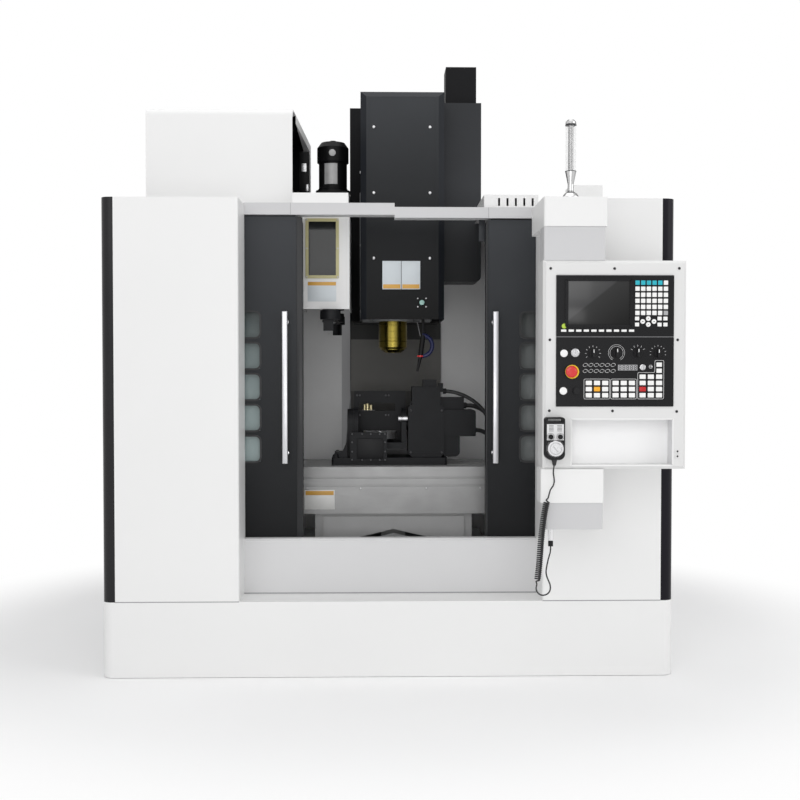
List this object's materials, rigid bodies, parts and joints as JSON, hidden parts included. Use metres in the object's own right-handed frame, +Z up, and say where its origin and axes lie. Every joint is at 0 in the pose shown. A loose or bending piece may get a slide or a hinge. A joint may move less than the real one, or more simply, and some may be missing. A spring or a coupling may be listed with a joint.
{
  "type": "cnc machining center",
  "caption": "Vertical machining centre with sliding doors, side tool changer, tilting rotary table on the cross table and an operator pendant on a swivel neck.",
  "frame": {"origin": "middle of the footprint on the floor", "axes": "+X to the operator's right, +Y away from the operator, +Z up"},
  "size_m": [2.1, 2.3, 2.424],
  "materials": {
    "white_paint": "satin",
    "light_grey_paint": "satin",
    "dark_paint": "satin",
    "post_paint": "gloss",
    "machine_grey": "painted",
    "rotary_black": "painted",
    "table_grey": "machined",
    "steel": "machined",
    "brass": "polished",
    "screen_black": "gloss",
    "black_plastic": "matte",
    "white_plastic": "gloss",
    "red_plastic": "gloss",
    "cord_rubber": "matte",
    "window_glass": "clear",
    "tinted_glass": "tinted"
  },
  "bodies": {
    "frame": {"levelling_feet": "steel", "base_plinth": "white_paint", "bed_casting": "machine_grey", "column_casting": "machine_grey", "left_front_panel": "white_paint", "right_front_panel": "white_paint", "corner_posts": "post_paint", "lower_front_panel": "light_grey_paint", "enclosure_walls": "white_paint", "door_header": "light_grey_paint", "magazine_cover": "white_paint", "atc_cover": "white_paint", "atc_window": "tinted_glass", "atc_drive": "rotary_black", "slotted_cover": "white_paint", "control_cabinet": "light_grey_paint", "signal_lamp": "white_plastic", "pendant_bracket": "white_paint"},
    "cabinet_door": {"cabinet_door": "white_paint"},
    "saddle": {"saddle": "machine_grey"},
    "table": {"table": "table_grey", "rotary_base": "rotary_black", "rotary_drive": "rotary_black", "rotary_cables": "cord_rubber"},
    "cradle": {"cradle": "rotary_black"},
    "platter": {"platter": "steel"},
    "head": {"head_casting": "machine_grey", "head_cover": "dark_paint", "booster_box": "dark_paint", "z_cover": "dark_paint"},
    "spindle": {"spindle": "brass"},
    "changer_shaft": {"atc_shaft": "steel"},
    "changer_arm": {"atc_arm": "rotary_black"},
    "tool_disc": {"magazine_disc": "steel"},
    "left_leaf": {"left_door": "dark_paint", "left_windows": "window_glass"},
    "right_leaf": {"right_door": "dark_paint", "right_windows": "window_glass"},
    "pendant": {"pendant_arm": "light_grey_paint", "pendant_box": "white_paint", "display_unit": "screen_black", "control_unit": "screen_black", "handset": "black_plastic", "cord_leads": "cord_rubber", "cord_coil": "cord_rubber", "cord_plug": "black_plastic"},
    "handset_dial": {"handset_dial": "steel"},
    "handset_axis_knob": {"handset_axis_knob": "black_plastic"},
    "handset_step_knob": {"handset_step_knob": "black_plastic"},
    "emergency_stop": {"emergency_stop": "red_plastic"},
    "start_button": {"start_button": "white_plastic"},
    "stop_button": {"stop_button": "white_plastic"},
    "reset_button": {"reset_button": "black_plastic"},
    "mode_selector": {"mode_selector": "black_plastic"},
    "feed_override": {"feed_override": "black_plastic"},
    "spindle_override": {"spindle_override": "black_plastic"},
    "rapid_override": {"rapid_override": "black_plastic"},
    "key_switch": {"key_switch": "steel"},
    "program_key": {"program_key": "steel"},
    "toggle_switch": {"toggle_switch": "steel"}
  },
  "joints": [
    {"name": "cabinet_door_hinge", "type": "hinge", "parent": "frame", "child": "cabinet_door", "pos_m": [-0.409, 1.134, 1.17], "axis": [0, 0, 1], "range_deg": [0, 110]},
    {"name": "saddle_y", "type": "slide", "parent": "frame", "child": "saddle", "axis": [0, -1, 0], "range_m": [-0.2, 0.2]},
    {"name": "table_x", "type": "slide", "parent": "saddle", "child": "table", "axis": [-1, 0, 0], "range_m": [-0.28, 0.28]},
    {"name": "cradle_tilt", "type": "hinge", "parent": "table", "child": "cradle", "pos_m": [-0.032, -0.145, 0.905], "axis": [1, 0, 0], "range_deg": [0, 90]},
    {"name": "platter_turn", "type": "hinge", "parent": "cradle", "child": "platter", "pos_m": [-0.032, -0.149, 0.86], "axis": [0, 0, 1], "continuous": true},
    {"name": "head_z", "type": "slide", "parent": "frame", "child": "head", "axis": [0, 0, 1], "range_m": [-0.23, 0.165]},
    {"name": "spindle_turn", "type": "hinge", "parent": "head", "child": "spindle", "pos_m": [0.023, -0.145, 1.25], "axis": [0, 0, 1], "continuous": true},
    {"name": "changer_plunge", "type": "slide", "parent": "frame", "child": "changer_shaft", "axis": [0, 0, -1], "range_m": [0, 0.115]},
    {"name": "changer_swing", "type": "hinge", "parent": "changer_shaft", "child": "changer_arm", "pos_m": [-0.229, -0.145, 1.35], "axis": [0, 0, 1], "range_deg": [0, 30]},
    {"name": "tool_disc_turn", "type": "hinge", "parent": "frame", "child": "tool_disc", "pos_m": [-0.44, -0.145, 1.79], "axis": [1, 0, 0], "continuous": true},
    {"name": "left_door_slide", "type": "slide", "parent": "frame", "child": "left_leaf", "axis": [1, 0, 0], "range_m": [0, 0.3495]},
    {"name": "right_door_slide", "type": "slide", "parent": "frame", "child": "right_leaf", "axis": [-1, 0, 0], "range_m": [0, 0.3495]},
    {"name": "pendant_swivel", "type": "hinge", "parent": "frame", "child": "pendant", "pos_m": [0.626, -1.035, 1.62], "axis": [0, 0, 1], "range_deg": [-90, 30]},
    {"name": "handset_dial_turn", "type": "hinge", "parent": "pendant", "child": "handset_dial", "pos_m": [0.553, -1.137, 0.864], "axis": [0, 1, 0], "continuous": true},
    {"name": "axis_knob_turn", "type": "hinge", "parent": "pendant", "child": "handset_axis_knob", "pos_m": [0.537, -1.137, 0.903], "axis": [0, 1, 0], "range_deg": [-60, 60]},
    {"name": "step_knob_turn", "type": "hinge", "parent": "pendant", "child": "handset_step_knob", "pos_m": [0.569, -1.137, 0.903], "axis": [0, 1, 0], "range_deg": [-45, 45]},
    {"name": "emergency_stop_push", "type": "slide", "parent": "pendant", "child": "emergency_stop", "axis": [0, 1, 0], "range_m": [0, 0.008]},
    {"name": "start_push", "type": "slide", "parent": "pendant", "child": "start_button", "axis": [0, 1, 0], "range_m": [0, 0.0038], "stiffness_N_per_m": 400, "springref_m": -0.002},
    {"name": "stop_push", "type": "slide", "parent": "pendant", "child": "stop_button", "axis": [0, 1, 0], "range_m": [0, 0.0038], "stiffness_N_per_m": 400, "springref_m": -0.002},
    {"name": "reset_push", "type": "slide", "parent": "pendant", "child": "reset_button", "axis": [0, 1, 0], "range_m": [0, 0.0038], "stiffness_N_per_m": 400, "springref_m": -0.002},
    {"name": "mode_turn", "type": "hinge", "parent": "pendant", "child": "mode_selector", "pos_m": [0.687, -1.093, 1.183], "axis": [0, 1, 0], "range_deg": [-75, 75]},
    {"name": "feed_turn", "type": "hinge", "parent": "pendant", "child": "feed_override", "pos_m": [0.767, -1.093, 1.185], "axis": [0, 1, 0], "range_deg": [-135, 135]},
    {"name": "spindle_override_turn", "type": "hinge", "parent": "pendant", "child": "spindle_override", "pos_m": [0.839, -1.093, 1.185], "axis": [0, 1, 0], "range_deg": [-90, 90]},
    {"name": "rapid_turn", "type": "hinge", "parent": "pendant", "child": "rapid_override", "pos_m": [0.908, -1.093, 1.183], "axis": [0, 1, 0], "range_deg": [-60, 60]},
    {"name": "key_turn", "type": "hinge", "parent": "pendant", "child": "key_switch", "pos_m": [0.626, -1.093, 1.185], "axis": [0, 1, 0], "range_deg": [0, 90]},
    {"name": "program_key_turn", "type": "hinge", "parent": "pendant", "child": "program_key", "pos_m": [0.856, -1.093, 1.136], "axis": [0, 1, 0], "range_deg": [0, 90]},
    {"name": "toggle_flip", "type": "hinge", "parent": "pendant", "child": "toggle_switch", "pos_m": [0.883, -1.089, 1.138], "axis": [1, 0, 0], "range_deg": [-12, 12]}
  ]
}
